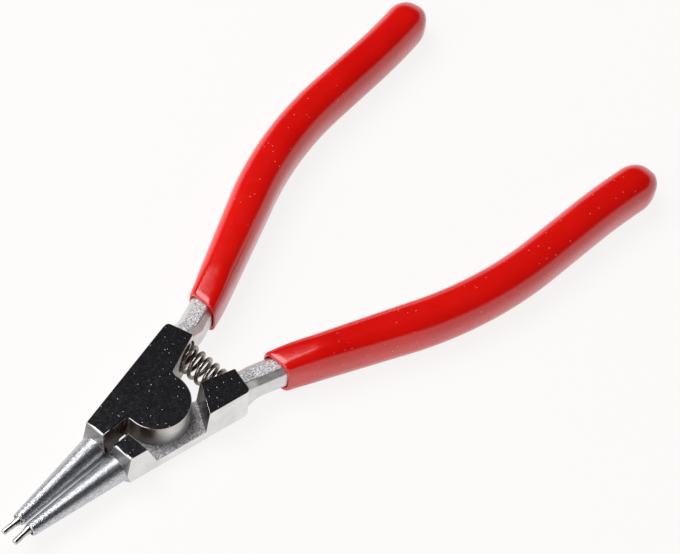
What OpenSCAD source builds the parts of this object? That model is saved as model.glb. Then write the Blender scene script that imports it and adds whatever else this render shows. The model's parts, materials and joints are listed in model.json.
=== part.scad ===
// Circlip pliers for external retaining rings.
// Two forged levers are lapped at the pivot and held by one screw. A coil spring behind the pivot
// keeps the handles apart, and squeezing them spreads the tips.
// Everything is drawn about the pivot at mid thickness, tips towards -X, and then lifted so that
// the grips lie on the ground at Z = 0. The upper side is drawn, and the lower one mirrors it.

/* [Head] */
// Thickness of the head between its two polished faces
head_t = 7.6; // [7:0.1:9]
// Distance from the pivot forward to the front face
head_front = 11.75; // [11:0.05:14]
// Distance from the pivot back to the outer rear corner
head_rear = 12.9; // [12.5:0.1:15]
// Half width across the outer walls at the front face
front_half_w = 5.35; // [5.1:0.05:6.5]
// Half width across the outer walls at the rear corner
rear_half_w = 10.3; // [9.8:0.1:12]
// Gap between the two front blocks
front_gap = 2.5; // [1.5:0.1:3]
// Angle of each inner rear wall from the centre line
wall_angle = 19.8; // [17:0.2:22]
// Angle by which the rear edge leans back
rear_lean = 15; // [5:1:25]
// Radius of the outer rear corner
corner_r = 0.9; // [0.3:0.1:1.5]
// Radius of the two fillets where the walls meet the boss
throat_fillet = 0.9; // [0.3:0.1:1.2]

/* [Lap joint] */
// Radius of the round boss on each lever
boss_r = 6.05; // [5.6:0.05:6.4]
// Thickness of the lower lever's lap
lap_t = 2.2; // [2:0.1:3]
// Gap between the two laps
lap_clearance = 0.05; // [0.02:0.01:0.1]
// Radius of the recess that the other lever's boss turns in, at its mouth
recess_r = 8.3; // [7.9:0.1:8.6]
// Slope of the recess's round and rear walls from upright
recess_draft = 7; // [1:1:9]
// Distance from the pivot to the recess's front wall at its mouth
recess_front = 8.3; // [8.2:0.1:9]
// Slope of the recess's front wall from upright
recess_slope = 20; // [0:1:22]
// Angle at which the recess's rear wall leaves its arc and runs straight out
recess_turn = 32; // [28:1:40]

/* [Pivot screw] */
// Radius of the screw's head
screw_head_r = 3.6; // [3.2:0.1:4.2]
// Thickness of the screw's head
screw_head_t = 1.1; // [0.8:0.1:1.3]
// Radius of the shoulder that the lower lever turns on
shoulder_r = 2.6; // [2.3:0.1:2.9]
// Radius of the thread
thread_r = 2; // [1.5:0.1:2.2]
// Length of thread in the boss
thread_len = 4; // [2.5:0.1:4.4]
// Width of the driving slot
slot_w = 0.9; // [0.6:0.1:1.2]
// Depth of the driving slot
slot_depth = 0.6; // [0.3:0.1:0.7]
// Radial gap of the turning fit
running_clearance = 0.03; // [0.01:0.01:0.08]
// Gap round the screw's head and at the thread's end
screw_clearance = 0.1; // [0.05:0.05:0.3]
// Radial gap of the thread
thread_clearance = 0.02; // [0.01:0.01:0.05]

/* [Jaws] */
// Distance from the pivot to the end of the conical jaws
jaw_end = 31.65; // [26:0.05:40]
// Radius of a jaw at its root
jaw_root_r = 2.6; // [2.45:0.05:2.65]
// Radius of a jaw at its end
jaw_end_r = 1.2; // [1.15:0.05:1.3]
// Distance of a jaw's axis from the centre line at the front face
jaw_root_y = 2.85; // [2.75:0.05:3.1]
// Distance of a jaw's axis under the head's mid thickness at the front face
jaw_root_drop = 1.1; // [0.8:0.05:1.1]
// Distance of a jaw's axis under the head's mid thickness at the jaw's end
jaw_end_drop = 0.25; // [0:0.05:0.3]
// Gap between the jaws at their ends when the pliers are at rest
jaw_gap = 0.35; // [0.2:0.05:0.4]
// Length of the tapered nose between the front face and the jaw
nose_len = 0.8; // [0.5:0.1:1.5]
// Radius of the nose's round front
nose_r = 2.65; // [2.6:0.01:2.68]

/* [Tips] */
// Length of a tip beyond the jaw
tip_len = 3.5; // [3:0.1:5]
// Distance of a tip from the centre line where it leaves the jaw
tip_y = 1.2; // [1.15:0.05:1.3]
// Radius of the pin at the end of a tip
tip_r = 0.55; // [0.45:0.05:0.65]
// Length of that pin
tip_pin_len = 1.9; // [1.2:0.1:2.2]
// Radius of a tip where it leaves the jaw
tip_base_r = 0.82; // [0.75:0.01:0.9]
// Angle by which a tip leans away from the centre line
tip_splay = 3; // [0:0.5:6]
// Radius of the shank pressed into the jaw
shank_r = 0.6; // [0.4:0.05:0.7]
// Length of that shank
shank_len = 6; // [3:0.5:8]

/* [Return spring] */
// Distance of the spring's axis behind the pivot
spring_x = 11.85; // [11.5:0.05:12.3]
// Length of the spring between its seats
spring_len = 14.6; // [13:0.1:15.5]
// Outside radius of the spring
spring_r = 2.75; // [2.5:0.05:2.95]
// Radius of the spring wire
wire_r = 0.38; // [0.25:0.01:0.42]
// Number of turns
spring_turns = 9; // [7:1:10]
// Angle about the spring's axis at which its wire starts
wire_start = 310; // [0:5:355]
// Radial gap between the spring and its seats
seat_clearance = 0.2; // [0.1:0.05:0.25]

/* [Handles] */
// Width of a handle bar where it leaves the head, across its parting line
bar_w = 5; // [4.6:0.1:5.2]
// Thickness of a handle bar where it leaves the head
bar_t = 5.8; // [5.4:0.1:6.4]
// Width of a handle bar inside its grip
core_w = 4.9; // [4.4:0.1:5.2]
// Thickness of a handle bar inside its grip
core_t = 6.8; // [6:0.1:7]
// How far each side of a bar leans in from its parting line to its flats
bar_draft = 0.1; // [0.05:0.05:0.2]
// Bevel along the edges of a bar
bar_bevel = 1.2; // [0.8:0.1:1.3]
// Distance of a bar's middle from the head's inner rear wall, where they meet
bar_inset = 1.75; // [1.6:0.05:2]
// How much further out the outer side of a bar lies where it meets the head
root_flare = 0.4; // [0.2:0.1:0.8]
// Length of the ramp from the head's faces down to the bar
ramp_len = 3; // [2:0.1:3.4]
// Angle by which a bar turns in from the head's inner rear wall
tang_turn = 0.8; // [0.4:0.2:3]
// Direction of the straight part of a handle
handle_angle = 24.4; // [21:0.2:26]
// Direction of the palm part of a handle
palm_angle = 3.1; // [0:0.1:8]
// Direction of a handle's flared end
flare_angle = 7.9; // [3:0.1:12]
// Length of the straight part behind the edge of the grip
straight_len = 26.9; // [18:0.1:32]
// Length of the bend from the straight part to the palm part
bend_len = 29.6; // [22:0.1:36]
// Length of the palm part
palm_len = 12.4; // [6:0.1:20]
// Length of the bend from the palm part to the flared end
flare_len = 11.9; // [8:0.1:18]
// Length of the flared end
end_len = 6.5; // [6.2:0.1:12]

/* [Grips] */
// Distance from the pivot to the edge of the grips
mouth_x = 20.7; // [19.8:0.1:23]
// Width of a grip at its edge
mouth_w = 6.1; // [6:0.1:6.6]
// Thickness of a grip at its edge
mouth_t = 7.9; // [7.7:0.1:8.6]
// Squareness of a grip's section at its edge: 2 is an oval, more is squarer
mouth_square = 4; // [3.4:0.1:5]
// Length over which a grip grows from its edge to its full section
mouth_len = 8; // [6:0.5:12]
// Width of a grip next to its edge
grip_neck_w = 7.1; // [6.8:0.1:8]
// Width of a grip from the bend on
grip_palm_w = 8.2; // [7.6:0.1:9.6]
// Thickness of a grip
grip_t = 9.2; // [8.8:0.1:10.4]
// Squareness of a grip's full section
grip_square = 2.6; // [2.2:0.1:4]
// Length of a grip's rounded end
round_len = 5.5; // [4:0.1:6]
// Length of the drip left at the end of a grip by dipping
drip_len = 0.5; // [0.3:0.1:1]
// Radius of that drip
drip_r = 0.8; // [0.5:0.1:1]
// Gap between a grip and its bar
grip_clearance = 0.1; // [0.05:0.05:0.2]
// Further gap at the edge of a grip, where the coat stands off
lip_gap = 0.1; // [0.05:0.05:0.2]

/* [Hidden] */
$fn = 96;

steel = [0.80, 0.81, 0.82];
spring_steel = [0.30, 0.27, 0.25];
grip_red = [0.84, 0.05, 0.03];
ring_sides = 24;
wire_sides = 10;
wire_steps = 16;
bevel_sides = [3, 1, 4, 1, 3, 3, 1, 4, 1, 3];
half_turn = 180;
// Length that tools and joined solids run past a face
merge = 0.1;
reach = 60;

// Planes of the lap: the lower lap lies under lap_z, the upper boss over it
head_z = head_t / 2;
lap_z = lap_t - head_z;

function direction(angle) = [cos(angle), sin(angle)];
function normal(angle) = [-sin(angle), cos(angle)];
function cross2(a, b) = a.x * b.y - a.y * b.x;
// Point where the line from p along d meets the line from the origin along e
function meet(p, d, e) = e * cross2(p, d) / cross2(e, d);
function smooth(t) = let (u = min(1, max(0, t))) u * u * (3 - 2 * u);

// Corners of the head's plan
front_inner = [-head_front, front_gap / 2];
front_outer = [-head_front, front_half_w];
rear_outer = [head_rear, rear_half_w];
rear_inner = meet(rear_outer, direction(rear_lean - 90), direction(wall_angle));

// Jaw axis, from the front face to the end of the jaw
jaw_root = [-head_front, jaw_root_y, -jaw_root_drop];
jaw_line = [-jaw_end, jaw_end_r + jaw_gap / 2, -jaw_end_drop] - jaw_root;
jaw_angle = atan2(jaw_line.y, jaw_line.x);
jaw_rise = asin(jaw_line.z / norm(jaw_line));
jaw_tip = [-jaw_end, tip_y];
tip_angle = half_turn - tip_splay;
tip_chamfer = 0.1;
tip_point = jaw_tip + tip_len * direction(tip_angle);

// Handle bar: its root lies in the head, with the inner sides of bar and head flush
tang_angle = wall_angle - tang_turn;
root_overlap = 3;
bar_root = rear_inner + bar_inset * normal(tang_angle) - root_overlap * direction(tang_angle);
mouth_bend = 5;
core_ramp = 10;
s_tang = root_overlap + ramp_len;
s_mouth = (mouth_x - bar_root.x) / cos(tang_angle);
s_core_full = s_mouth + core_ramp;
s_bend = s_mouth + straight_len;
s_palm = s_bend + bend_len;
s_flare = s_palm + palm_len;
s_end = s_flare + flare_len;
s_tail = s_end + end_len;
s_round = s_tail - round_len;
path_step = 0.5;
function heading(s) = lookup(s, [[s_mouth, tang_angle], [s_mouth + mouth_bend, handle_angle],
    [s_bend, handle_angle], [s_palm, palm_angle], [s_flare, palm_angle], [s_end, flare_angle]]);
bar_path = [for (i = 0, p = bar_root; i * path_step < s_tail + drip_len + 2 * path_step;
    p = p + path_step * direction(heading((i + 0.5) * path_step)), i = i + 1) p];
function on_path(s) = let (k = s / path_step, i = floor(k))
    bar_path[i] + (k - i) * (bar_path[i + 1] - bar_path[i]);

// Where the part lies: middle of its length at X = 0, underside of the grips at Z = 0
part_end = on_path(s_tail + drip_len).x;
part_front = tip_point.x - (tip_r - tip_chamfer) * sin(tip_splay);
middle_x = (part_end + part_front) / 2;
rest_z = grip_t / 2;

module placed() translate([-middle_x, 0, rest_z]) children();
module mirrored() mirror([0, 1, 0]) children();
// Places children at plan point p with their Z axis along the plan direction
module along(p, angle) translate([p.x, p.y, 0]) rotate([0, 90, angle]) children();

// Closed solid through a list of rings that have equally many points
module skin(rings) {
    n = len(rings[0]);
    last = (len(rings) - 1) * n;
    sides = [for (i = [0 : n : last - n], j = [0 : n - 1])
        each let (a = i + j, b = i + (j + 1) % n) [[a, a + n, b + n], [a, b + n, b]]];
    caps = [[for (j = [0 : n - 1]) j], [for (j = [n - 1 : -1 : 0]) last + j]];
    polyhedron([for (ring = rings) each ring], concat(sides, caps), convexity = 8);
}

// Ring of a section round point p, its width axis square to the angle
function ring(p, angle, section) = let (e = normal(angle))
    [for (q = section) [p.x + q[0] * e.x, p.y + q[0] * e.y, q[1]]];

// Section of a bar from -inner to +outer: flats with bevelled edges, and sides that lean out to a
// parting line at mid thickness
function bar_section(inner, outer, half_t) = let (
    side = half_t - bar_bevel,
    flat = bar_draft + bar_bevel,
    corners = [[outer, 0], [outer - bar_draft, side], [outer - flat, half_t],
        [flat - inner, half_t], [bar_draft - inner, side], [-inner, 0],
        [bar_draft - inner, -side], [flat - inner, -half_t],
        [outer - flat, -half_t], [outer - bar_draft, -side]])
    [for (i = [0 : len(corners) - 1], k = [0 : bevel_sides[i] - 1])
        let (next = corners[(i + 1) % len(corners)])
        corners[i] + k / bevel_sides[i] * (next - corners[i])];

// Section of a grip: an oval made squarer
function power(v, square) = sign(v) * pow(abs(v), 2 / square);
function grip_section(half_w, half_t, square) = [for (j = [0 : ring_sides - 1])
    let (a = 360 * j / ring_sides) [half_w * power(cos(a), square), half_t * power(sin(a), square)]];

// Half sizes of the bar at distance s from its root. The ramp starts just under the head's faces.
ramp_step = 0.05;
function ramp(s) = 1 - smooth((s - root_overlap) / ramp_len);
function bar_half_w(s) = lookup(s, [[s_mouth, bar_w / 2], [s_core_full, core_w / 2]]);
function bar_inner(s) = bar_half_w(s) - (bar_w / 2 - bar_inset) * ramp(s);
function bar_outer(s) = bar_half_w(s) + root_flare * ramp(s);
function bar_half_t(s) = lookup(s, [[s_mouth, bar_t / 2], [s_core_full, core_t / 2]])
    + (head_z - ramp_step - bar_t / 2) * ramp(s);
function bar_ring(s) = ring(on_path(s), heading(s),
    bar_section(bar_inner(s), bar_outer(s), bar_half_t(s)));

// Half sizes of a grip at distance s from the bar's root
function grip_half_w(s) = lookup(s, [[s_mouth, mouth_w / 2], [s_mouth + mouth_len, grip_neck_w / 2],
    [s_bend, grip_palm_w / 2]]);
function grip_half_t(s) = lookup(s, [[s_mouth, mouth_t / 2], [s_mouth + mouth_len, grip_t / 2]]);
function squareness(s) = lookup(s, [[s_mouth, mouth_square], [s_mouth + mouth_len, grip_square]]);
// The edge of the coat is square to X, and its sections turn square to the bar further on
function grip_turn(s) = heading(s) * smooth((s - s_mouth) / mouth_len);
function skew(s) = 1 / cos(heading(s) - grip_turn(s));
function grip_ring(s, shrink = 1) = ring(on_path(s), grip_turn(s),
    grip_section(shrink * skew(s) * grip_half_w(s), shrink * grip_half_t(s), squareness(s)));
function cavity_ring(s, gap) = ring(on_path(s), grip_turn(s), bar_section(
    skew(s) * (bar_inner(s) + gap), skew(s) * (bar_outer(s) + gap), bar_half_t(s) + gap));

// Arc that rounds the corner p between the directions a and b leading away from it
function rounded(p, a, b, r, steps = 6) = let (
    half = acos(a * b) / 2,
    centre = p + (a + b) / norm(a + b) * r / sin(half),
    start = p + a * r / tan(half) - centre,
    from = atan2(start.y, start.x))
    [for (i = [0 : steps]) centre + r * direction(from + (2 * half - half_turn) * i / steps)];

// Arc of the fillet between the boss and a wall that passes the pivot at distance h. It is drawn
// for a wall along +X with the open corner over it, from the boss to the wall.
function boss_fillet(h, steps = 6) = let (
    r = throat_fillet,
    centre = [sqrt(pow(boss_r + r, 2) - pow(h + r, 2)), h + r],
    from = atan2(centre.y, centre.x) + half_turn,
    to = 3 / 2 * half_turn)
    [for (i = [0 : steps]) centre + r * direction(from + (to - from) * i / steps)];

module head_plan() {
    outer_dir = (front_outer - rear_outer) / norm(front_outer - rear_outer);
    front_fillet = [for (q = boss_fillet(-front_gap / 2)) [-q.x, -q.y]];
    rear_fillet = [for (q = boss_fillet(0))
        q.x * direction(wall_angle) - q.y * normal(wall_angle)];
    polygon([front_inner, front_outer,
        each rounded(rear_outer, outer_dir, direction(rear_lean - 90), corner_r), rear_inner,
        each [for (i = [len(rear_fillet) - 1 : -1 : 0]) rear_fillet[i]], [0, 0],
        each front_fillet]);
}

// Recess under the plane cut_z for the other lever's lap: round about the pivot, and open through
// the outer wall between a sloping front wall and a straight rear wall, which cuts into the round.
// The round and the rear wall have a draft, so the recess is widest at its mouth.
secant = 0.995;
module recess(cut_z) {
    depth = cut_z + head_z;
    run = tan(recess_slope);
    lean = tan(recess_draft);
    corner = secant * recess_r * direction(recess_turn);
    rear = normal(recess_turn);
    translate([0, 0, -head_z - merge]) cylinder(h = depth + merge, r1 = recess_r + merge * lean,
        r2 = recess_r - depth * lean);
    intersection() {
        translate([corner.x, corner.y, -head_z]) rotate(-recess_draft, [rear.x, rear.y, 0])
            translate([0, 0, -reach]) linear_extrude(2 * reach)
            polygon([-corner, [0, 0], reach * rear, [-reach, reach] - corner, [-reach, 0] - corner]);
        translate([0, reach, 0]) rotate([90, 0, 0]) linear_extrude(reach)
            polygon([[depth * run - recess_front, cut_z], [reach, cut_z], [reach, -reach],
                [-recess_front - (reach - head_z) * run, -reach]]);
    }
}

// Places children on the front face with their Z axis along the jaw
module on_jaw() translate(jaw_root) rotate([0, 90 - jaw_rise, jaw_angle]) children();

// Tapered nose that carries the round jaw on the front of the head
module nose() {
    slab = 0.01;
    hull() {
        translate([-head_front, front_gap / 2, -head_z])
            cube([slab, front_half_w - front_gap / 2, head_t]);
        on_jaw() translate([0, 0, nose_len]) cylinder(h = slab, r = nose_r, $fn = 32);
    }
}

module jaw() {
    on_jaw() cylinder(h = norm(jaw_line), r1 = jaw_root_r, r2 = jaw_end_r);
}

// Head with its boss over the plane cut_z and its recess under it
module lapped_head(cut_z) {
    difference() {
        translate([0, 0, -head_z]) linear_extrude(head_t) head_plan();
        recess(cut_z);
    }
    translate([0, 0, cut_z]) cylinder(h = head_z - cut_z, r = boss_r);
}

// Distances of the sections along a handle, from the edge of the grip to the start of its round end
function stops(start, length, steps) = [for (k = [1 : steps]) start + k / steps * length];
bend_stops = stops(s_bend, bend_len, 8);
flare_stops = stops(s_flare, flare_len, 4);
handle_stops = [each stops(s_mouth, core_ramp, 4), s_bend, each bend_stops, s_flare, each flare_stops,
    s_round];

module handle_bar() {
    ramp_stops = [root_overlap, each stops(root_overlap, ramp_len, 6)];
    skin([for (s = [0, each ramp_stops, s_mouth, each handle_stops]) bar_ring(s)]);
}

// One lever without its lap's holes. The recess is cut from below, or from above if flipped.
module lever(cut_z, flip) {
    difference() {
        union() {
            mirror([0, 0, flip ? 1 : 0]) lapped_head(cut_z);
            nose();
            jaw();
            handle_bar();
        }
        // Seat of the return spring
        translate([spring_x, 0, 0]) rotate([-90, 0, 0])
            cylinder(h = spring_len / 2, r = spring_r + seat_clearance);
        // Socket of the tip
        tip();
    }
}

module upper_lever() {
    color(steel) placed() difference() {
        lever(lap_z + lap_clearance, false);
        translate([0, 0, lap_z - merge])
            cylinder(h = merge + thread_len + screw_clearance, r = thread_r + thread_clearance);
    }
}

module lower_lever() {
    color(steel) placed() mirrored() difference() {
        lever(-lap_z, true);
        translate([0, 0, -reach]) cylinder(h = 2 * reach, r = shoulder_r + running_clearance);
        translate([0, 0, screw_head_t + screw_clearance - head_z - reach])
            cylinder(h = reach, r = screw_head_r + screw_clearance);
    }
}

// Shoulder screw, put in from below and screwed up into the upper lever's boss
module pivot_screw() {
    head_top = screw_head_t + screw_clearance / 2 - head_z;
    color(steel) placed() difference() {
        union() {
            translate([0, 0, head_top - screw_head_t]) cylinder(h = screw_head_t, r = screw_head_r);
            translate([0, 0, head_top - merge])
                cylinder(h = lap_z + lap_clearance - head_top + merge, r = shoulder_r);
            translate([0, 0, lap_z]) cylinder(h = thread_len, r = thread_r);
        }
        translate([-reach, -slot_w / 2, head_top - screw_head_t - merge])
            cube([2 * reach, slot_w, slot_depth + merge]);
    }
}

// Round tip: a pin that swells to a base, with a shank set in the jaw
module tip() {
    flare = tip_len - tip_pin_len;
    swell = tip_base_r - tip_r;
    along(jaw_tip, tip_angle) rotate_extrude()
        polygon([[0, -tip_base_r / 2], [tip_base_r, 0],
            for (k = [1 : 8]) [tip_base_r - swell * sin(90 * k / 8), flare * k / 8],
            [tip_r, tip_len - tip_chamfer], [tip_r - tip_chamfer, tip_len], [0, tip_len]]);
    along(jaw_tip - shank_len * direction(jaw_angle), jaw_angle)
        cylinder(h = shank_len, r = shank_r);
}

module upper_tip() { color(steel) placed() tip(); }
module lower_tip() { color(steel) placed() mirrored() tip(); }

// Coil with closed end turns, its axis along Y
coil_gap = 0.04;
coil_span = spring_len - 2 * wire_r - 2 * coil_gap;
closed_pitch = 2 * wire_r + coil_gap;
function coil_rise(t) = lookup(t, [[0, 0], [1, closed_pitch],
    [spring_turns - 1, coil_span - closed_pitch], [spring_turns, coil_span]]);

module return_spring() {
    mean_r = spring_r - wire_r;
    color(spring_steel) placed() translate([spring_x, -coil_span / 2, 0])
        skin([for (i = [0 : spring_turns * wire_steps]) let (a = wire_start - 360 * i / wire_steps)
            [for (j = [0 : wire_sides - 1])
                let (b = -360 * j / wire_sides, r = mean_r + wire_r * cos(b))
                [r * cos(a), coil_rise(i / wire_steps) + wire_r * sin(b), r * sin(a)]]]);
}

// Dipped coat over a handle bar, closed at its end, where a drip has set
module grip() {
    lip_len = 0.5;
    lip_round = 0.96;
    lip_depth = 1;
    round_step = 13;
    drip_shrink = 2 * drip_r / grip_palm_w;
    lip_end = s_mouth + lip_len;
    mouth_stops = [lip_end, each stops(lip_end, mouth_len - lip_len, 5)];
    outer_stops = [each mouth_stops, s_bend, each bend_stops, s_flare, each flare_stops];
    skin([
        grip_ring(s_tail + drip_len, drip_shrink / 2),
        grip_ring(s_tail + drip_len / 2, drip_shrink),
        for (a = [6 * round_step : -round_step : 0])
            grip_ring(s_round + round_len * sin(a), cos(a)),
        for (i = [len(outer_stops) - 1 : -1 : 0]) grip_ring(outer_stops[i]),
        grip_ring(s_mouth, lip_round),
        cavity_ring(s_mouth, grip_clearance + lip_gap),
        cavity_ring(s_mouth + lip_depth, grip_clearance),
        for (s = handle_stops) cavity_ring(s, grip_clearance),
        cavity_ring(s_round + grip_clearance, grip_clearance)]);
}

module upper_grip() { color(grip_red) placed() grip(); }
module lower_grip() { color(grip_red) placed() mirrored() grip(); }

upper_lever();
lower_lever();
pivot_screw();
return_spring();
upper_grip();
lower_grip();
upper_tip();
lower_tip();
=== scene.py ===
"""Circlip pliers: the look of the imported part, in the part's own frame, in metres."""
import json
import math

import bmesh
import bpy
from mathutils import Matrix, Vector


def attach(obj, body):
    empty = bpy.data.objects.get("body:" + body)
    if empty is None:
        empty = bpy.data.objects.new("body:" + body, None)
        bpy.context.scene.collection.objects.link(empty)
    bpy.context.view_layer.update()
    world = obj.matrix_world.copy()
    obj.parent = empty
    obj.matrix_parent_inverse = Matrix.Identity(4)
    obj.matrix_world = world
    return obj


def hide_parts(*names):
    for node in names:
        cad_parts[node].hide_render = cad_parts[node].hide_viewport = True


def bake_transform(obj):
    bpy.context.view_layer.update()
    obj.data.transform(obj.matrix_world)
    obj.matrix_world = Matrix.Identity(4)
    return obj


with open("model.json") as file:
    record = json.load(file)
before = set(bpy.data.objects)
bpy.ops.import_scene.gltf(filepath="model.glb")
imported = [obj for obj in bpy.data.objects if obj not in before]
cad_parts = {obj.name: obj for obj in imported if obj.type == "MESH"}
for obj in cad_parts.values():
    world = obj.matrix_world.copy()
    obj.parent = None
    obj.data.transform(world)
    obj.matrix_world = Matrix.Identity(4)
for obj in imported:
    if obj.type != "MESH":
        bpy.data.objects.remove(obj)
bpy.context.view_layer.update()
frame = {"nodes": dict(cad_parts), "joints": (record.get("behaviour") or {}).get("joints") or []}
scene = bpy.context.scene
scene.view_settings.view_transform = "Standard"

MM = 0.001
PIVOT = Vector(frame["joints"][0]["pos_m"])

# Head, in millimetres about the pivot and degrees
HEAD_Z = 3.8  # half the thickness between the polished faces
HEAD_FRONT = 11.75  # from the pivot forward to the front faces
NOSE_LEN = 0.8  # tapered nose between a front face and its jaw
FRONT_GAP = 2.5  # between the two front blocks
BOSS_R = 6.05
JAW_END = 31.65  # from the pivot to the ends of the jaws
REAR_OUTER = Vector((12.9, 10.3))  # outer rear corner
REAR_LEAN = 15  # lean of the rear edge
WALL_ANGLE = 19.8  # inner rear walls, from the centre line

# Handle bars and grips, in millimetres and degrees
BAR_W = 5.0  # bar where it leaves the head
BAR_T = 5.8
CORE_W = 4.9  # bar inside its grip
CORE_T = 6.8
CORE_RAMP = 10  # length over which the bar takes that section
BAR_INSET = 1.75  # middle of the bar from the inner rear wall
TANG_TURN = 0.8  # turn of the bar from that wall
HANDLE_ANGLE = 24.4  # headings of the straight part, the palm part and the flared end
PALM_ANGLE = 3.1
FLARE_ANGLE = 7.9
MOUTH_BEND = 5  # lengths along the path, from the edge of the grip to its end
STRAIGHT_LEN = 26.9
BEND_LEN = 29.6
PALM_LEN = 12.4
FLARE_LEN = 11.9
END_LEN = 6.5
MOUTH_X = 20.7  # from the pivot to the edge of the grips
MOUTH_W = 6.1  # grip at its edge
MOUTH_T = 7.9
MOUTH_SQUARE = 4  # squareness of a section: 2 is an oval, more is squarer
MOUTH_LEN = 8  # length over which the grip takes its full section
NECK_W = 7.1
PALM_W = 8.2
GRIP_T = 9.2
GRIP_SQUARE = 2.6
ROUND_LEN = 5.5  # rounded end
DRIP_LEN = 0.5  # drip left at the end by dipping
DRIP_R = 0.8
LIP_LEN = 0.6  # rolled lip at the edge
LIP_ROUND = 0.07  # share by which the lip draws in
BORE_GAP = 0.1  # between the coat and the bar
BORE_SQUARE = 3.2

# Return spring, in millimetres and degrees
SPRING_X = 11.85  # axis behind the pivot
SPRING_LEN = 14.6  # between its seats
SPRING_R = 2.75
WIRE_R = 0.38
SPRING_TURNS = 9
WIRE_START = 310  # where the wire starts
COIL_GAP = 0.04  # between closed turns, and at the seats


def place(point):
    """A point in millimetres about the pivot, in the part's frame."""
    return PIVOT + Vector(point) * MM


def new_object(name, data):
    obj = bpy.data.objects.new(name, data)
    scene.collection.objects.link(obj)
    return obj


def smooth_step(t):
    u = min(1.0, max(0.0, t))
    return u * u * (3 - 2 * u)


def table(x, rows):
    """Value at x, straight between the rows and level beyond them."""
    if x <= rows[0][0]:
        return rows[0][1]
    for (xa, ya), (xb, yb) in zip(rows, rows[1:]):
        if x <= xb:
            return ya + (yb - ya) * (x - xa) / (xb - xa)
    return rows[-1][1]


# Materials: scales are in turns per metre, and depths of bump in metres

# Stretches of a noise's values that a change of tone is spread over
SOFT = (0.3, 0.7)
FIRM = (0.35, 0.65)
CRISP = (0.38, 0.62)


def new_material(name, color, metallic, roughness):
    """A material with plain values, for its nodes to vary."""
    mat = bpy.data.materials.new(name)
    mat.use_nodes = True
    shader = mat.node_tree.nodes["Principled BSDF"]
    shader.inputs["Base Color"].default_value = (*color, 1)
    shader.inputs["Metallic"].default_value = metallic
    shader.inputs["Roughness"].default_value = roughness
    return mat, mat.node_tree, shader


def object_coords(tree):
    return tree.nodes.new("ShaderNodeTexCoord").outputs["Object"]


def noise(tree, scale, detail=3.0, roughness=0.55, stretch=None):
    """Noise in the part's own space."""
    node = tree.nodes.new("ShaderNodeTexNoise")
    node.inputs["Scale"].default_value = scale
    node.inputs["Detail"].default_value = detail
    node.inputs["Roughness"].default_value = roughness
    source = object_coords(tree)
    if stretch:
        mapping = tree.nodes.new("ShaderNodeMapping")
        mapping.inputs["Scale"].default_value = stretch
        tree.links.new(source, mapping.inputs["Vector"])
        source = mapping.outputs["Vector"]
    tree.links.new(source, node.inputs["Vector"])
    return node.outputs["Fac"]


def spread(tree, value, low, high, to_low, to_high):
    """Maps a value from one range to another, held at the ends."""
    node = tree.nodes.new("ShaderNodeMapRange")
    node.inputs["From Min"].default_value = low
    node.inputs["From Max"].default_value = high
    node.inputs["To Min"].default_value = to_low
    node.inputs["To Max"].default_value = to_high
    tree.links.new(value, node.inputs["Value"])
    return node.outputs["Result"]


def combine(tree, operation, *values):
    """A Math node. A value is a node's output or a number."""
    node = tree.nodes.new("ShaderNodeMath")
    node.operation = operation
    for socket, value in zip(node.inputs, values):
        if isinstance(value, (int, float)):
            socket.default_value = value
        else:
            tree.links.new(value, socket)
    return node.outputs[0]


def specks(tree, scale, share, size):
    """Sparse round specks: 1 inside a speck. Share is the part of the cells that has one."""
    cells = tree.nodes.new("ShaderNodeTexVoronoi")
    cells.inputs["Scale"].default_value = scale
    tree.links.new(object_coords(tree), cells.inputs["Vector"])
    parts = tree.nodes.new("ShaderNodeSeparateColor")
    tree.links.new(cells.outputs["Color"], parts.inputs["Color"])
    near = combine(tree, "LESS_THAN", cells.outputs["Distance"], size)
    picked = combine(tree, "LESS_THAN", parts.outputs["Red"], share)
    return combine(tree, "MULTIPLY", near, picked)


def blend_color(tree, factor, color_a, color_b):
    """Mixes two colours. A colour is a node's output or three numbers."""
    node = tree.nodes.new("ShaderNodeMix")
    node.data_type = "RGBA"
    tree.links.new(factor, node.inputs["Factor"])
    for socket, color in ((node.inputs["A"], color_a), (node.inputs["B"], color_b)):
        if isinstance(color, tuple):
            socket.default_value = (*color, 1)
        else:
            tree.links.new(color, socket)
    return node.outputs["Result"]


def tones(tree, value, color_a, color_b, stretch=SOFT):
    """A colour that a noise varies between two tones."""
    return blend_color(tree, spread(tree, value, *stretch, 0, 1), color_a, color_b)


def set_color(tree, shader, color):
    tree.links.new(color, shader.inputs["Base Color"])


def set_roughness(tree, shader, value, low, high, stretch=SOFT):
    tree.links.new(spread(tree, value, *stretch, low, high), shader.inputs["Roughness"])


def add_bump(tree, shader, height, depth):
    node = tree.nodes.new("ShaderNodeBump")
    node.inputs["Strength"].default_value = 1.0
    node.inputs["Distance"].default_value = depth
    tree.links.new(height, node.inputs["Height"])
    tree.links.new(node.outputs["Normal"], shader.inputs["Normal"])


def polished_chrome():
    """Mirror-polished head faces with fine dust and pits."""
    steel = (0.56, 0.545, 0.565)
    mat, tree, shader = new_material("polished_chrome", steel, 1.0, 0.07)
    pits = specks(tree, 4300, share=0.4, size=0.3)
    dust = specks(tree, 2600, share=0.075, size=0.2)
    pitted = blend_color(tree, pits, steel, (0.05, 0.048, 0.052))
    set_color(tree, shader, blend_color(tree, dust, pitted, (0.8, 0.8, 0.8)))
    bare = spread(tree, combine(tree, "MAXIMUM", pits, dust), 0, 1, 1, 0)
    tree.links.new(bare, shader.inputs["Metallic"])
    set_roughness(tree, shader, noise(tree, 1500, 4, 0.6), 0.05, 0.12, (0.4, 0.75))
    return mat


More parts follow.
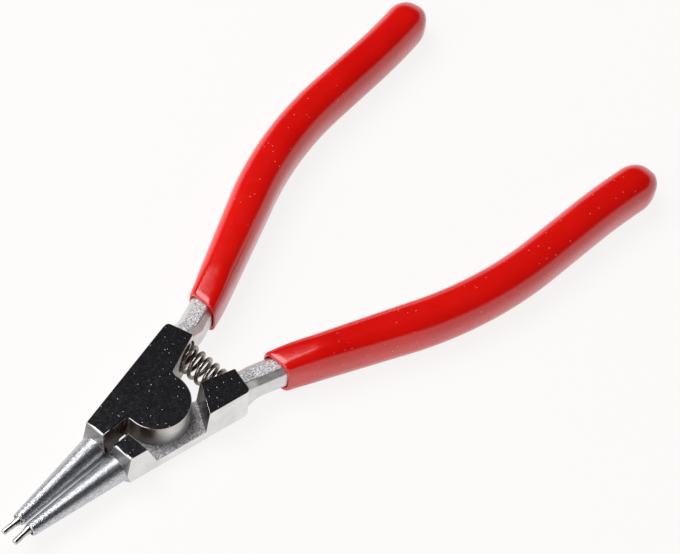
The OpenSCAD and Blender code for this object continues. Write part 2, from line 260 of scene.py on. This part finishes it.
def satin_chrome():
    """Ground and plated side walls."""
    mat, tree, shader = new_material("satin_chrome", (0.72, 0.71, 0.69), 1.0, 0.25)
    set_roughness(tree, shader, noise(tree, 900, 4), 0.18, 0.34)
    set_color(tree, shader, tones(tree, noise(tree, 260), (0.7, 0.69, 0.675), (0.82, 0.81, 0.8)))
    add_bump(tree, shader, noise(tree, 2600), 0.000002)
    return mat


def ground_chrome():
    """Smooth turned walls of the joint, faintly brown, with painted shade towards the gap in front of the
    boss.
    """
    mat, tree, shader = new_material("ground_chrome", (0.62, 0.59, 0.56), 1.0, 0.2)
    set_roughness(tree, shader, noise(tree, 500), 0.32, 0.42)
    streaks = noise(tree, 300, 3, 0.5, stretch=(1, 1, 6))
    unshaded = tones(tree, streaks, (0.6, 0.575, 0.55), (0.72, 0.705, 0.69), FIRM)
    # Painted shade from the gap in front of the boss, which fades towards the pivot
    parts = tree.nodes.new("ShaderNodeSeparateXYZ")
    tree.links.new(object_coords(tree), parts.inputs["Vector"])
    shade_start = place((-BOSS_R, 0, 0)).x
    shade_end = place((-BOSS_R / 2.5, 0, 0)).x
    throat_shade = spread(tree, parts.outputs["X"], shade_start, shade_end, 0.9, 0)
    set_color(tree, shader, blend_color(tree, throat_shade, unshaded, (0.12, 0.09, 0.07)))
    return mat


def painted_shade_steel():
    """Walls deep in the joint, in a painted brown shade that stands for the shade in its gaps and recess."""
    mat, tree, shader = new_material("painted_shade_steel", (0.2, 0.16, 0.13), 1.0, 0.22)
    set_roughness(tree, shader, noise(tree, 600), 0.18, 0.3)
    brown_tones = tones(tree, noise(tree, 350), (0.07, 0.05, 0.038), (0.16, 0.125, 0.1), FIRM)
    set_color(tree, shader, brown_tones)
    return mat


def front_shaded_chrome():
    """Ground front ends of the head, greyer than its sides by painted shade, for the shadowed floor they
    mirror.
    """
    mat, tree, shader = new_material("front_shaded_chrome", (0.4, 0.395, 0.39), 1.0, 0.25)
    set_roughness(tree, shader, noise(tree, 900, 4), 0.18, 0.34)
    set_color(tree, shader, tones(tree, noise(tree, 420), (0.22, 0.21, 0.2), (0.36, 0.355, 0.35)))
    return mat


def tang_chrome():
    """Dull plated flanks of the bars between head and grips."""
    mat, tree, shader = new_material("tang_chrome", (0.75, 0.745, 0.74), 1.0, 0.45)
    set_roughness(tree, shader, noise(tree, 1200), 0.4, 0.52)
    set_color(tree, shader, tones(tree, noise(tree, 500), (0.7, 0.695, 0.69), (0.84, 0.835, 0.83)))
    add_bump(tree, shader, noise(tree, 2600), 0.00001)
    return mat


def rough_chrome():
    """Plated forging skin: bright and granular."""
    mat, tree, shader = new_material("rough_chrome", (0.78, 0.79, 0.82), 0.65, 0.3)
    set_roughness(tree, shader, noise(tree, 1400), 0.45, 0.68)
    skin = tones(tree, noise(tree, 2800, 2), (0.46, 0.465, 0.5), (0.97, 0.975, 0.99), CRISP)
    set_color(tree, shader, skin)
    add_bump(tree, shader, noise(tree, 2300, 4, 0.65), 0.0003)
    return mat


def jaw_chrome():
    """Turned, plated jaws with a fine grain."""
    mat, tree, shader = new_material("jaw_chrome", (0.74, 0.75, 0.77), 1.0, 0.34)
    set_roughness(tree, shader, noise(tree, 1800), 0.28, 0.38)
    grain = tones(tree, noise(tree, 4000, 2), (0.4, 0.41, 0.44), (0.72, 0.73, 0.76), CRISP)
    set_color(tree, shader, grain)
    add_bump(tree, shader, noise(tree, 4200, 2, 0.5), 0.00007)
    return mat


def tip_steel():
    """Bright ground pins."""
    mat, tree, shader = new_material("tip_steel", (0.66, 0.64, 0.62), 1.0, 0.16)
    set_roughness(tree, shader, noise(tree, 900, 2), 0.14, 0.24)
    steel = tones(tree, noise(tree, 700, 2), (0.44, 0.42, 0.41), (0.62, 0.605, 0.595), FIRM)
    set_color(tree, shader, steel)
    return mat


def spring_wire():
    """Dark drawn wire with a brown oil film."""
    mat, tree, shader = new_material("spring_wire", (0.2, 0.16, 0.13), 1.0, 0.3)
    brown_tones = tones(tree, noise(tree, 600), (0.17, 0.14, 0.12), (0.42, 0.375, 0.34), FIRM)
    set_color(tree, shader, brown_tones)
    set_roughness(tree, shader, noise(tree, 1900), 0.16, 0.3)
    add_bump(tree, shader, noise(tree, 2500), 0.00001)
    return mat


def dipped_red():
    """Glossy dipped plastic, with patches of dust and a faint orange peel."""
    mat, tree, shader = new_material("dipped_red", (0.7, 0.008, 0.004), 0.0, 0.3)
    red = tones(tree, noise(tree, 60, 2), (0.74, 0.003, 0.0015), (0.84, 0.006, 0.003))
    patches = spread(tree, noise(tree, 30, 1), 0.45, 0.6, 0, 1)
    dust = combine(tree, "MULTIPLY", specks(tree, 950, share=0.45, size=0.11), patches)
    set_color(tree, shader, blend_color(tree, dust, red, (0.85, 0.27, 0.21)))
    set_roughness(tree, shader, noise(tree, 500), 0.14, 0.22)
    shader.inputs["IOR"].default_value = 1.52
    shader.inputs["Coat Weight"].default_value = 0.45
    shader.inputs["Coat Roughness"].default_value = 0.1
    add_bump(tree, shader, noise(tree, 220, 2), 0.00006)
    return mat


POLISHED = polished_chrome()
SATIN = satin_chrome()
GROUND = ground_chrome()
PAINTED_SHADE = painted_shade_steel()
FRONT = front_shaded_chrome()
TANG = tang_chrome()
ROUGH = rough_chrome()
JAW = jaw_chrome()
TIP = tip_steel()
WIRE = spring_wire()
RED = dipped_red()


# Pieces that keep the shape of their CAD solids

SAME_POINT = 0.001 * MM
SAME_PLANE = math.radians(0.4)
BREAK_SEGMENTS = 2


def stand_for(node):
    """The piece takes a node's place."""
    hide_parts(node)


def editable_copy(node):
    """A copy of a node's mesh, and its faces joined where they lie in one plane."""
    mesh = frame["nodes"][node].data.copy()
    bm = bmesh.new()
    bm.from_mesh(mesh)
    bmesh.ops.remove_doubles(bm, verts=bm.verts, dist=SAME_POINT)
    bmesh.ops.dissolve_limit(bm, angle_limit=SAME_PLANE, verts=bm.verts, edges=bm.edges)
    bm.normal_update()
    return mesh, bm


def set_materials(mesh, materials):
    mesh.materials.clear()
    for mat in materials:
        mesh.materials.append(mat)


# Levers: broken edges, and a finish for each kind of surface

# The darkest brown finish here is painted shade for walls in the gaps and the recess, and the front's grey
# is painted shade too
LEVER_MATERIALS = [SATIN, POLISHED, ROUGH, JAW, GROUND, PAINTED_SHADE, FRONT, TANG]
SHARP_ANGLE = math.radians(28)

# Where the finishes end, in millimetres about the pivot
JOINT_R = 13  # walls of the joint lie within this
RECESS_R = 12  # edges of the recess lie within this
GAP_REACH = 4  # half width of the gap in front of the boss, whose walls get painted shade
FRONT_DEPTH = 0.3  # within which a face belongs to the front
FACE_DEPTH = 0.2  # within which a level face is a polished one
BOSS_BAND = 0.2  # within which a wall is the boss's
RECESS_GAP = 1  # from the boss to the walls of the recess
ON_EDGE = 0.05  # how close counts as on an edge

# How far a face is turned, as the size of its normal along an axis
FORWARD = 0.3  # front faces look forward by more than this
LEVEL = 0.9  # level faces look up or down by more
TANG_TOP_UP = 0.8  # tops of the tangs look up by more than this
TANG_TOP_ACROSS = 0.35  # and sideways by less
LENGTHWISE = 0.5  # walls that cross the tool look along it by more

# Widths to which the edges are broken, in millimetres. The front's is the widest.
FRONT_BREAK = 0.32
GAP_BREAK = 0.26
BOSS_BREAK = 0.16
JAW_BREAK = 0.25
RECESS_BREAK = 0.05
TANG_BREAK = 0.3
PLAIN_BREAK = 0.13
JAW_RIM = 1  # length of a jaw's end
TANG_START = 1  # behind the head's rear edge
TANG_EDGE = 2  # least length of a bar's long edges


def behind_head(point):
    """How far a point lies behind the head's rear edge, in millimetres."""
    lean = math.radians(REAR_LEAN - 90)
    beyond = Vector((point.x, abs(point.y))) - REAR_OUTER
    return beyond.x * -math.sin(lean) + beyond.y * math.cos(lean)


def lever_finish(center, normal):
    """Which finish a face of a lever has, from its middle in millimetres about the pivot."""
    reach = center.xy.length
    if center.x < -HEAD_FRONT - NOSE_LEN:
        return JAW
    if center.x < FRONT_DEPTH - HEAD_FRONT and normal.x < -FORWARD:
        return FRONT
    if behind_head(center) > ON_EDGE:
        across = abs(normal.y * math.cos(math.radians(WALL_ANGLE)))
        return ROUGH if abs(normal.z) > TANG_TOP_UP and across < TANG_TOP_ACROSS else TANG
    if abs(normal.z) > LEVEL:
        return POLISHED if abs(center.z) > HEAD_Z - FACE_DEPTH else ROUGH
    if abs(reach - BOSS_R) < BOSS_BAND:
        return GROUND
    # Walls of the gap in front of the boss get painted shade
    if center.x < -BOSS_R / 2 and abs(center.y) < GAP_REACH:
        return PAINTED_SHADE
    if center.xy.dot(normal.xy) > 0 or reach > JOINT_R:
        return SATIN
    # Walls of the gap, and recess walls that face along the tool, get painted shade
    in_gap = center.x < 0 and abs(normal.x) < LENGTHWISE
    in_recess = abs(normal.x) > LENGTHWISE and reach > BOSS_R + RECESS_GAP
    return PAINTED_SHADE if in_gap or in_recess else GROUND


def edge_break(edge):
    """Width to which an edge of a lever is broken, in millimetres."""
    if len(edge.link_faces) != 2 or edge.calc_face_angle(0) < SHARP_ANGLE or not edge.is_convex:
        return 0.0
    middle = ((edge.verts[0].co + edge.verts[1].co) / 2 - PIVOT) / MM
    reach = middle.xy.length
    on_face = abs(middle.z) > HEAD_Z - ON_EDGE
    at_gap = abs(abs(middle.y) - FRONT_GAP / 2) < ON_EDGE and middle.x < -BOSS_R / 2
    if on_face and abs(middle.x + HEAD_FRONT) < ON_EDGE:
        return FRONT_BREAK
    if on_face and at_gap:
        return GAP_BREAK
    if on_face and abs(reach - BOSS_R) < 2 * ON_EDGE:
        return BOSS_BREAK
    if middle.x < JAW_RIM - JAW_END:
        return JAW_BREAK
    if on_face and middle.x > 0 and reach < RECESS_R:
        return RECESS_BREAK
    if behind_head(middle) > TANG_START and edge.calc_length() > TANG_EDGE * MM:
        return TANG_BREAK
    return PLAIN_BREAK


def dressed_lever(node, body):
    mesh, bm = editable_copy(node)
    weight = bm.edges.layers.float.new("bevel_weight_edge")
    for edge in bm.edges:
        edge[weight] = edge_break(edge) / FRONT_BREAK
    for face in bm.faces:
        finish = lever_finish((face.calc_center_median() - PIVOT) / MM, face.normal)
        face.material_index = LEVER_MATERIALS.index(finish)
        face.smooth = finish != POLISHED
    set_materials(mesh, LEVER_MATERIALS)
    bm.to_mesh(mesh)
    bm.free()
    mesh.set_sharp_from_angle(angle=SHARP_ANGLE)
    obj = new_object("dressed_" + node, mesh)
    bevel = obj.modifiers.new("edges", "BEVEL")
    bevel.width = FRONT_BREAK * MM
    bevel.segments = BREAK_SEGMENTS
    bevel.limit_method = "WEIGHT"
    bevel.use_clamp_overlap = False
    bevel.harden_normals = False
    normals = obj.modifiers.new("normals", "WEIGHTED_NORMAL")
    normals.weight = 100
    normals.keep_sharp = True
    stand_for(node)
    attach(obj, body)


# Tips and screw: smooth round faces and broken edges

ROUND_ANGLE = math.radians(40)
SCREW_BREAK = 0.12
TIP_BREAK = 0.03


def dressed_copy(node, body, mat, edge_width):
    mesh, bm = editable_copy(node)
    for face in bm.faces:
        face.smooth = True
    bm.to_mesh(mesh)
    bm.free()
    set_materials(mesh, [mat])
    mesh.set_sharp_from_angle(angle=ROUND_ANGLE)
    obj = new_object("dressed_" + node, mesh)
    bevel = obj.modifiers.new("edges", "BEVEL")
    bevel.width = edge_width * MM
    bevel.segments = BREAK_SEGMENTS
    bevel.limit_method = "ANGLE"
    bevel.angle_limit = ROUND_ANGLE
    stand_for(node)
    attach(obj, body)


def skinned(name, rings, mat, smooth_ends):
    """A closed skin over rings of points in millimetres about the pivot."""
    bm = bmesh.new()
    verts = [[bm.verts.new(place(point)) for point in ring] for ring in rings]
    sides = len(rings[0])
    for ring_a, ring_b in zip(verts, verts[1:]):
        for j in range(sides):
            k = (j + 1) % sides
            bm.faces.new((ring_a[j], ring_b[j], ring_b[k], ring_a[k])).smooth = True
    bm.faces.new(verts[0]).smooth = smooth_ends
    bm.faces.new(verts[-1]).smooth = smooth_ends
    bmesh.ops.recalc_face_normals(bm, faces=bm.faces)
    mesh = bpy.data.meshes.new(name)
    bm.to_mesh(mesh)
    bm.free()
    mesh.materials.append(mat)
    return new_object(name, mesh)


# Grips: a coat drawn along the handle's path

RING_SIDES = 72
PATH_STEP = 0.25
COAT_STEP = 0.7
BORE_STEP = 2.0
# Drip: how far along it each ring is, and the ring's share of its radius
DRIP_RINGS = ((1.0, 0.18), (0.93, 0.55), (0.75, 0.85), (0.45, 1.0))
# Rings of the round end and of the lip, in degrees round their curves
END_ANGLES = range(78, -1, -3)
LIP_ANGLES = (15, 35, 55, 75)
# Dark gap inside the lip: depth of each ring, and its distance from the bar
LIP_THROAT = ((0.02, 0.32), (0.12, 0.22), (0.5, 0.15))


def unit(angle):
    return Vector((math.cos(math.radians(angle)), math.sin(math.radians(angle))))


def cross2(a, b):
    return a.x * b.y - a.y * b.x


class Handle:
    """The upper handle's path and the sizes of its coat, in millimetres about the pivot."""

    def __init__(self):
        wall = unit(WALL_ANGLE)
        rear = unit(REAR_LEAN - 90)
        inner = wall * cross2(REAR_OUTER, rear) / cross2(wall, rear)
        tang = WALL_ANGLE - TANG_TURN
        root = inner + unit(tang + 90) * BAR_INSET
        self.mouth = (MOUTH_X - root.x) / math.cos(math.radians(tang))
        self.bend = self.mouth + STRAIGHT_LEN
        palm = self.bend + BEND_LEN
        flare = palm + PALM_LEN
        end = flare + FLARE_LEN
        self.tail = end + END_LEN
        self.headings = [
            (self.mouth, tang),
            (self.mouth + MOUTH_BEND, HANDLE_ANGLE),
            (self.bend, HANDLE_ANGLE),
            (palm, PALM_ANGLE),
            (flare, PALM_ANGLE),
            (end, FLARE_ANGLE),
        ]
        self.points = [root]
        while len(self.points) * PATH_STEP < self.tail + DRIP_LEN + 2 * PATH_STEP:
            s = (len(self.points) - 0.5) * PATH_STEP
            self.points.append(self.points[-1] + unit(self.heading(s)) * PATH_STEP)

    def heading(self, s):
        return table(s, self.headings)

    def point(self, s):
        k = int(s / PATH_STEP)
        return self.points[k].lerp(self.points[k + 1], s / PATH_STEP - k)

    def ring(self, s, half_w, half_t, square):
        """Points of a squared oval round the path. Near the edge it is square to X."""
        turn = self.heading(s) * smooth_step((s - self.mouth) / MOUTH_LEN)
        half_w = half_w / math.cos(math.radians(self.heading(s) - turn))
        out = unit(turn + 90)
        middle = self.point(s)
        ring = []
        for j in range(RING_SIDES):
            a = 2 * math.pi * j / RING_SIDES
            w = half_w * math.copysign(abs(math.cos(a)) ** (2 / square), math.cos(a))
            z = half_t * math.copysign(abs(math.sin(a)) ** (2 / square), math.sin(a))
            ring.append((middle.x + w * out.x, middle.y + w * out.y, z))
        return ring

    def coat_ring(self, s, shrink=1.0):
        """Outside of the coat."""
        near = self.mouth + MOUTH_LEN
        half_w = table(s, [(self.mouth, MOUTH_W / 2), (near, NECK_W / 2), (self.bend, PALM_W / 2)])
        half_t = table(s, [(self.mouth, MOUTH_T / 2), (near, GRIP_T / 2)])
        square = table(s, [(self.mouth, MOUTH_SQUARE), (near, GRIP_SQUARE)])
        return self.ring(s, shrink * half_w, shrink * half_t, square)

    def bore_ring(self, s, gap):
        """Inside of the coat, a gap away from the bar."""
        full = self.mouth + CORE_RAMP
        half_w = table(s, [(self.mouth, BAR_W / 2), (full, CORE_W / 2)])
        half_t = table(s, [(self.mouth, BAR_T / 2), (full, CORE_T / 2)])
        return self.ring(s, half_w + gap, half_t + gap, BORE_SQUARE)

    def coat_rings(self):
        """Rings of the whole coat, from the drip along the outside to the lip and back inside."""
        start_round = self.tail - ROUND_LEN
        drip = 2 * DRIP_R / PALM_W
        rings = [self.coat_ring(self.tail + DRIP_LEN * share, drip * shrink) for share, shrink in DRIP_RINGS]
        for degrees in END_ANGLES:
            a = math.radians(degrees)
            rings.append(self.coat_ring(start_round + ROUND_LEN * math.sin(a), math.cos(a)))
        s = start_round - COAT_STEP
        while s > self.mouth + LIP_LEN:
            rings.append(self.coat_ring(s))
            s -= COAT_STEP
        for degrees in LIP_ANGLES:
            a = math.radians(degrees)
            shrink = 1 - LIP_ROUND * (1 - math.cos(a))
            rings.append(self.coat_ring(self.mouth + LIP_LEN * (1 - math.sin(a)), shrink))
        for depth, gap in LIP_THROAT:
            rings.append(self.bore_ring(self.mouth + depth, gap))
        s = self.mouth + BORE_STEP
        while s < start_round:
            rings.append(self.bore_ring(s, BORE_GAP))
            s += BORE_STEP
        rings.append(self.bore_ring(start_round + BORE_GAP, BORE_GAP))
        return rings


def dressed_grip(node, body, side):
    """A grip: side is 1 for the upper one and -1 for the lower one, its mirror image."""
    rings = [[(x, side * y, z) for x, y, z in ring] for ring in Handle().coat_rings()]
    obj = skinned("dressed_" + node, rings, RED, smooth_ends=True)
    stand_for(node)
    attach(obj, body)


# Return spring: a round wire with closed end turns

WIRE_SIDES = 14
WIRE_STEPS = 40  # rings in one turn


def coil_rise(turn):
    """How far along the spring its wire is after some turns, from the spring's middle."""
    span = SPRING_LEN - 2 * WIRE_R - 2 * COIL_GAP
    closed = 2 * WIRE_R + COIL_GAP
    rows = [(0, 0), (1, closed), (SPRING_TURNS - 1, span - closed), (SPRING_TURNS, span)]
    return table(turn, rows) - span / 2


def wire_center(step):
    a = math.radians(WIRE_START) - 2 * math.pi * step / WIRE_STEPS
    mean_r = SPRING_R - WIRE_R
    return Vector((SPRING_X + mean_r * math.cos(a), coil_rise(step / WIRE_STEPS), mean_r * math.sin(a)))


def dressed_spring():
    steps = SPRING_TURNS * WIRE_STEPS
    centers = [wire_center(i) for i in range(steps + 1)]
    rings = []
    for i, center in enumerate(centers):
        along = (centers[min(i + 1, steps)] - centers[max(i - 1, 0)]).normalized()
        out = Vector((center.x - SPRING_X, 0, center.z)).normalized()
        out = (out - along * out.dot(along)).normalized()
        up = along.cross(out)
        ring = []
        for j in range(WIRE_SIDES):
            b = 2 * math.pi * j / WIRE_SIDES
            ring.append(center + (out * math.cos(b) + up * math.sin(b)) * WIRE_R)
        rings.append(ring)
    obj = skinned("dressed_return_spring", rings, WIRE, smooth_ends=False)
    stand_for("return_spring")
    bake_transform(obj)


dressed_lever("upper_lever", "upper")
dressed_lever("lower_lever", "lower")
dressed_copy("pivot_screw", "upper", SATIN, SCREW_BREAK)
dressed_copy("upper_tip", "upper", TIP, TIP_BREAK)
dressed_copy("lower_tip", "lower", TIP, TIP_BREAK)
dressed_grip("upper_grip", "upper", 1)
dressed_grip("lower_grip", "lower", -1)
dressed_spring()


# Stage: a white floor, soft lamps and the camera, in metres

FLOOR_HALF = 1.5
FLOOR_MATTE = (0.94, 0.915, 0.9, 1)
FLOOR_GLOW = (1.0, 0.99, 0.985, 1)
SEEN_SHARE = 0.88  # share of the glow that the camera sees
MIRRORED_SHARE = 0.92  # share that reflections see on open floor
COVER_REACH = 0.02  # distance within which the part covers the floor
COVERED = 0.1  # openness at which reflections see no glow
OPEN = 0.32  # openness at which they see all their share


def floor_material():
    """Matte white that also glows for the camera and for reflections, and keeps the part's shadow."""
    mat = bpy.data.materials.new("floor_white")
    mat.use_nodes = True
    tree = mat.node_tree
    tree.nodes.clear()
    out = tree.nodes.new("ShaderNodeOutputMaterial")
    matte = tree.nodes.new("ShaderNodeBsdfDiffuse")
    matte.inputs["Color"].default_value = FLOOR_MATTE
    glow = tree.nodes.new("ShaderNodeEmission")
    glow.inputs["Color"].default_value = FLOOR_GLOW
    glow.inputs["Strength"].default_value = 1.0
    path = tree.nodes.new("ShaderNodeLightPath")
    seen = combine(tree, "MULTIPLY", path.outputs["Is Camera Ray"], SEEN_SHARE)
    openness = tree.nodes.new("ShaderNodeAmbientOcclusion")
    openness.inputs["Distance"].default_value = COVER_REACH
    mirrored = spread(tree, openness.outputs["AO"], COVERED, OPEN, 0, MIRRORED_SHARE)
    share = combine(tree, "MULTIPLY_ADD", path.outputs["Is Glossy Ray"], mirrored, seen)
    mix = tree.nodes.new("ShaderNodeMixShader")
    tree.links.new(share, mix.inputs["Fac"])
    tree.links.new(matte.outputs[0], mix.inputs[1])
    tree.links.new(glow.outputs[0], mix.inputs[2])
    tree.links.new(mix.outputs[0], out.inputs["Surface"])
    return mat


def add_floor():
    half = FLOOR_HALF
    corners = [(-half, -half, 0), (half, -half, 0), (half, half, 0), (-half, half, 0)]
    mesh = bpy.data.meshes.new("floor")
    mesh.from_pydata(corners, [], [(0, 1, 2, 3)])
    mesh.materials.append(floor_material())
    new_object("floor", mesh)


def add_lamp(name, direction, distance, size, power):
    """A square soft lamp that faces the middle of the part."""
    data = bpy.data.lights.new(name, "AREA")
    data.shape = "SQUARE"
    data.size = size
    data.energy = power
    lamp = new_object(name, data)
    toward = Vector(direction).normalized()
    lamp.location = toward * distance
    lamp.rotation_euler = toward.to_track_quat("Z", "Y").to_euler()


def add_world():
    """A pale horizon under a dark ceiling, which the polished faces mirror."""
    horizon = (1.0, 0.985, 0.975)
    ceiling = (0.021, 0.0205, 0.022)
    horizon_top = 0.12
    ceiling_start = 0.4
    world = bpy.data.worlds.new("studio")
    scene.world = world
    world.use_nodes = True
    tree = world.node_tree
    parts = tree.nodes.new("ShaderNodeSeparateXYZ")
    direction = tree.nodes.new("ShaderNodeTexCoord").outputs["Generated"]
    tree.links.new(direction, parts.inputs["Vector"])
    height = spread(tree, parts.outputs["Z"], horizon_top, ceiling_start, 0, 1)
    sky = blend_color(tree, height, horizon, ceiling)
    tree.links.new(sky, tree.nodes["Background"].inputs["Color"])


def add_camera():
    """The photograph's camera: it looks from where it stood at a point of the part, a little rolled."""
    stand = place((-152.505, -148.147, 335.937))
    aim = place((44.301, -3.284, 0))
    roll = math.radians(7.062)
    data = bpy.data.cameras.new("camera")
    data.sensor_width = 36
    data.sensor_fit = "HORIZONTAL"
    data.lens = 119.73
    data.clip_start = 0.01
    look = (aim - stand).normalized()
    level = look.cross(Vector((0, 0, 1))).normalized()
    rise = level.cross(look)
    right = level * math.cos(roll) + rise * math.sin(roll)
    up = right.cross(look)
    camera = new_object("camera", data)
    camera.matrix_world = Matrix.Translation(stand) @ Matrix((right, up, -look)).transposed().to_4x4()
    scene.camera = camera


add_floor()
add_lamp("key", direction=(-0.1, 0.45, 0.89), distance=0.9, size=0.58, power=6.0)
add_lamp("fill", direction=(-0.78, 0.15, 0.58), distance=0.9, size=0.7, power=3.2)
add_world()
add_camera()
